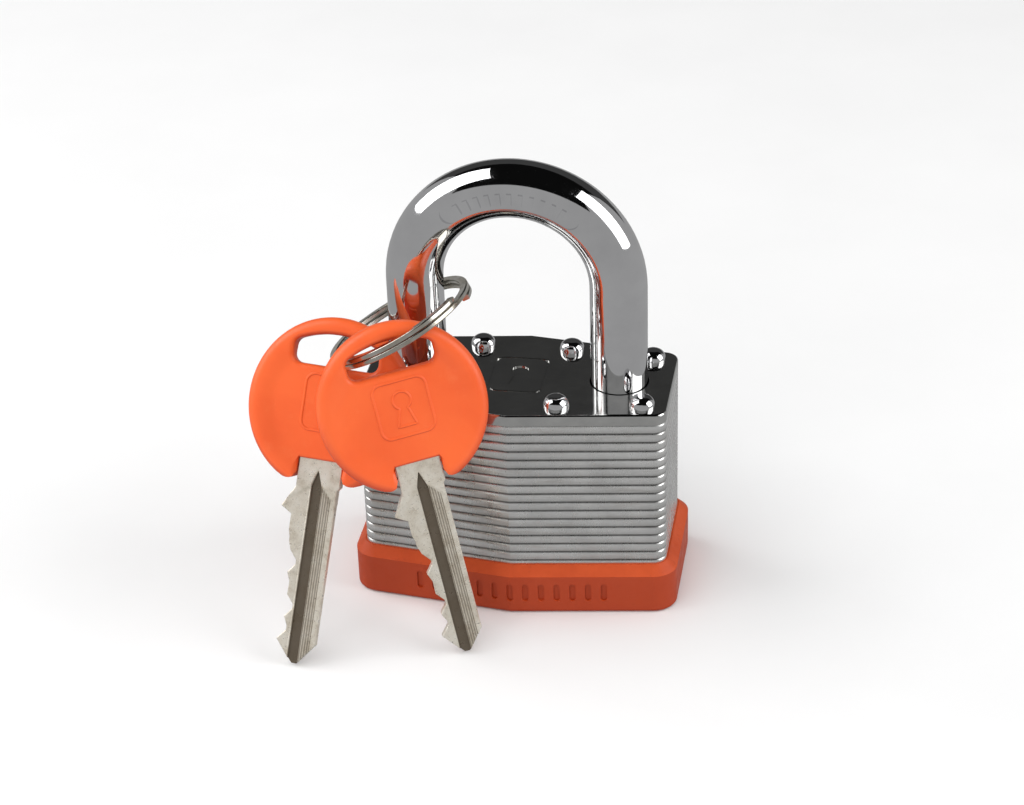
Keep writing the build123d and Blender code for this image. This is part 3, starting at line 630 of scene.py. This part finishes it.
def blade_edges():
    """Left and right edge of the blade, from the tip up, each as rows of (y, x)."""
    left = [(TIP_LEFT, KEY_TIP), (HIGH_SIDE + TIP_STEP_IN, KEY_TIP + TIP_LEFT_RISE)]
    for count in reversed(range(len(CUT_SIDES))):
        y = FIRST_CUT - CUT_PITCH * count
        left.append((CUT_SIDES[count], y - CUT_HALF_FLAT))
        left.append((CUT_SIDES[count], y + CUT_HALF_FLAT))
        if count:
            deeper = max(CUT_SIDES[count], CUT_SIDES[count - 1])
            left.append((max(HIGH_SIDE, deeper - CUT_PEAK), y + CUT_PITCH / 2))
    left += [(HIGH_SIDE, FIRST_CUT + FIRST_CUT_RISE), (HIGH_SIDE, SPUR_UNDER), SPUR]
    left += [(-SHOULDER_HALF, LEFT_SHOULDER), (-SHOULDER_HALF, BLADE_TOP)]
    right = [(TIP_RIGHT, KEY_TIP), (BACK_SIDE, KEY_TIP + TIP_RIGHT_RISE), (BACK_SIDE, RIGHT_SHOULDER[0])]
    right += [(SHOULDER_HALF, RIGHT_SHOULDER[1]), (SHOULDER_HALF, BLADE_TOP)]
    return np.array(left)[:, ::-1], np.array(right)[:, ::-1]


def blade_depth(x, y):
    """How deep the milling goes at a place. Each part of it runs out upwards along its own line."""
    groove = GROOVE_DEPTH * smoothstep((x - GROOVE_LEFT) / GROOVE_LEFT_WALL)
    groove = groove * (1 - smoothstep((x - GROOVE_RIGHT) / GROOVE_RIGHT_WALL))
    side_land = LAND_DEPTH * (1 - smoothstep((x - LAND_EDGE) / LAND_WALL))
    ridged = (x > RIDGES_LEFT) & (x < RIDGES_RIGHT)
    ripple = RIDGE_WAVE * np.cos((x - RIDGES_LEFT) * 2 * pi / RIDGE_PITCH)
    ridges = np.where(ridged, RIDGES_DEPTH + ripple, 0)
    strip = np.where(x >= RIDGES_RIGHT, LAND_DEPTH, 0)
    groove_end = GROOVE_END - GROOVE_END_SLOPE * np.abs(x - GROOVE_POINT)
    land_end = LAND_END - LAND_END_SLOPE * (GROOVE_LEFT - x)
    ridges_end = RIDGES_END - RIDGES_END_SLOPE * (x - RIDGES_LEFT)
    end = np.where(x < GROOVE_LEFT, land_end, np.where(x > RIDGES_END_FROM, ridges_end, groove_end))
    return (groove + side_land + ridges + strip) * smoothstep((end - y) / RUN_OUT)


def key_blade(name, matrix, body, node, material):
    """The metal key from inside the head to the tip, milled on both faces."""
    left, right = blade_edges()
    rows = np.unique(np.concatenate([np.arange(KEY_TIP, LAST_ROW, ROW_STEP), left[:, 0], right[:, 0]]))
    low_x = np.interp(rows, left[:, 0], left[:, 1])
    high_x = np.interp(rows, right[:, 0], right[:, 1])
    columns = np.arange(FIRST_COLUMN, LAST_COLUMN, COLUMN_STEP)
    x = np.clip(columns[None, :], low_x[:, None], high_x[:, None])
    y = np.repeat(rows[:, None], len(columns), 1)
    edge = np.minimum(x - low_x[:, None], high_x[:, None] - x)
    depth = blade_depth(x, y)
    height = BLADE_HALF_THICKNESS - depth - rounding(edge, BLADE_EDGE_ROUND)
    flat = list(zip(x.ravel(), y.ravel(), height.ravel()))
    points = [matrix @ Vector((px, py, side * h)) for side in (1, -1) for px, py, h in flat]
    wide, back = len(columns), len(flat)
    faces = []
    for row in range(len(rows) - 1):
        for k in range(wide - 1):
            a = row * wide + k
            faces.append((a, a + 1, a + wide + 1, a + wide))
            faces.append((back + a, back + a + wide, back + a + wide + 1, back + a + 1))
        for a, flip in ((row * wide, False), (row * wide + wide - 1, True)):
            quad = (a, a + wide, back + a + wide, back + a)
            faces.append(quad[::-1] if flip else quad)
    top = (len(rows) - 1) * wide
    for k in range(wide - 1):
        faces.append((k + 1, k, back + k, back + k + 1))
        faces.append((top + k, top + k + 1, back + top + k + 1, back + top + k))
    blade = piece(name, points, faces, material, body, 40)
    milled = blade.data.attributes.new(MILLED, "FLOAT", "POINT")
    share = depth.ravel() / GROOVE_DEPTH
    milled.data.foreach_set("value", np.concatenate([share, share]).astype(np.float32))
    weld = blade.modifiers.new("weld", "WELD")
    weld.merge_threshold = 0.001 * MM
    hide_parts(node)


# Where the two keys hang, as in the model: the head's centre, then yaw, lean and roll in degrees.
FRONT_KEY = key_matrix((-15.47, -17.81, 39.95), 18.0, 16.5, 9.85)
LEFT_KEY = key_matrix((-28.22, -13.22, 36.73), -2.4, 29.5, -4.1)

for side, matrix, metal in (("front", FRONT_KEY, KEY_METAL_FRONT), ("left", LEFT_KEY, KEY_METAL_LEFT)):
    body = f"key_{side}"
    key_head(f"head_{side}", matrix, body, f"key_head_{side}")
    key_blade(f"blade_{side}", matrix, body, f"key_blade_{side}", metal)
    raised_line(f"head_frame_{side}", matrix, frame_line(), FRAME_BEAD, body)
    raised_line(f"head_keyhole_{side}", matrix, keyhole_line(), KEYHOLE_BEAD, body)

# ---------------------------------------------------------------- floor, light and camera


# The floor lies just below the foot, so that the two don't share a plane.
HALF_FLOOR = 4.0
FLOOR_DROP = 0.0001
WORLD_STRENGTH = 0.36

# The middle of the lock, which the lights face.
LIT_POINT = Vector((0, 0, 0.035))

# The reflected cards, in metres: their distance, and half their width from side to side.
CARD_REACH = 1.5
CARD_HALF = 1.3
CARD_STEPS = 16

# The camera: its direction and distance from the point it is centred on, and its tilt to one side.
CAMERA_TURN = radians(10.457)
CAMERA_RISE = radians(30.924)
CAMERA_DISTANCE = 0.42126
CAMERA_TARGET = Vector((-0.001309, 0, 0.03121))
CAMERA_ROLL = radians(-1.917)
CAMERA_LENS = 90.71
CAMERA_SENSOR = 36.0


def stage_mesh(name, points, faces, material):
    """A mesh that belongs to the studio and not to the part."""
    mesh = bpy.data.meshes.new(name)
    mesh.from_pydata(points, [], faces)
    mesh.materials.append(material)
    obj = placed(name, mesh)
    return obj


floor_surface = Surface("pale_floor", (0.9, 0.9, 0.9), roughness=0.8)
floor_surface.colour(floor_surface.ramp(floor_surface.noise(20), [(0.3, (0.88,) * 3), (0.7, (0.91,) * 3)]))
corners = [(x * HALF_FLOOR, y * HALF_FLOOR, -FLOOR_DROP) for x, y in ((-1, -1), (1, -1), (1, 1), (-1, 1))]
floor = stage_mesh("floor", corners, [(0, 1, 2, 3)], floor_surface.material)
floor.visible_glossy = False

world = bpy.data.worlds.new("studio")
bpy.context.scene.world = world
world.use_nodes = True
background = world.node_tree.nodes["Background"]
background.inputs["Color"].default_value = (1, 1, 1, 1)
background.inputs["Strength"].default_value = WORLD_STRENGTH


def softbox(name, towards, distance, size, power):
    """An area light that faces the object from a direction."""
    light = bpy.data.lights.new(name, "AREA")
    light.shape = "RECTANGLE"
    light.size, light.size_y = size
    light.energy = power
    obj = placed(name, light)
    way = Vector(towards).normalized()
    obj.location = LIT_POINT + way * distance
    obj.rotation_mode = "QUATERNION"
    obj.rotation_quaternion = way.to_track_quat("Z", "Y")
    return obj


softbox("softbox_left", (-0.75, -0.02, 0.66), 0.9, (0.75, 0.9), 5.5)
softbox("softbox_right", (0.88, -0.06, 0.47), 0.9, (0.65, 0.8), 4.5)
front = softbox("softbox_front", (-0.25, -0.85, 0.75), 1.3, (1.2, 1.2), 8)
front.visible_glossy = False


def reflected_card(name, start, end, brightness):
    """A dark bent card that shows only in reflections. Its angles rise from behind and go over the top."""
    surface = Surface(name, (0, 0, 0), roughness=0.9)
    surface.bsdf.inputs["Specular IOR Level"].default_value = 0
    surface.bsdf.inputs["Emission Strength"].default_value = brightness
    surface.bsdf.inputs["Emission Color"].default_value = (1, 1, 1, 1)
    points = []
    for k in range(CARD_STEPS + 1):
        turn = radians(start + (end - start) * k / CARD_STEPS)
        for x in (-CARD_HALF, CARD_HALF):
            points.append((x, CARD_REACH * cos(turn), CARD_REACH * sin(turn)))
    faces = [(2 * k, 2 * k + 1, 2 * k + 3, 2 * k + 2) for k in range(CARD_STEPS)]
    card = stage_mesh(name, points, faces, surface.material)
    card.visible_camera = False
    card.visible_diffuse = False
    card.visible_shadow = False


reflected_card("card_behind", 6, 48, 0.05)
reflected_card("card_above", 48, 140, 0.004)

camera_data = bpy.data.cameras.new("camera")
camera_data.sensor_width = CAMERA_SENSOR
camera_data.lens = CAMERA_LENS
camera_data.clip_start = 0.01
camera_data.clip_end = 20.0
camera = placed("camera", camera_data)
level = cos(CAMERA_RISE)
back_way = Vector((sin(CAMERA_TURN) * level, -cos(CAMERA_TURN) * level, sin(CAMERA_RISE)))
flat_right = Vector((cos(CAMERA_TURN), sin(CAMERA_TURN), 0))
right_way = flat_right * cos(CAMERA_ROLL) + back_way.cross(flat_right) * sin(CAMERA_ROLL)
camera_axes = Matrix((right_way, back_way.cross(right_way), back_way)).transposed()
camera.location = CAMERA_TARGET + back_way * CAMERA_DISTANCE
camera.rotation_mode = "QUATERNION"
camera.rotation_quaternion = camera_axes.to_quaternion()
bpy.context.scene.camera = camera
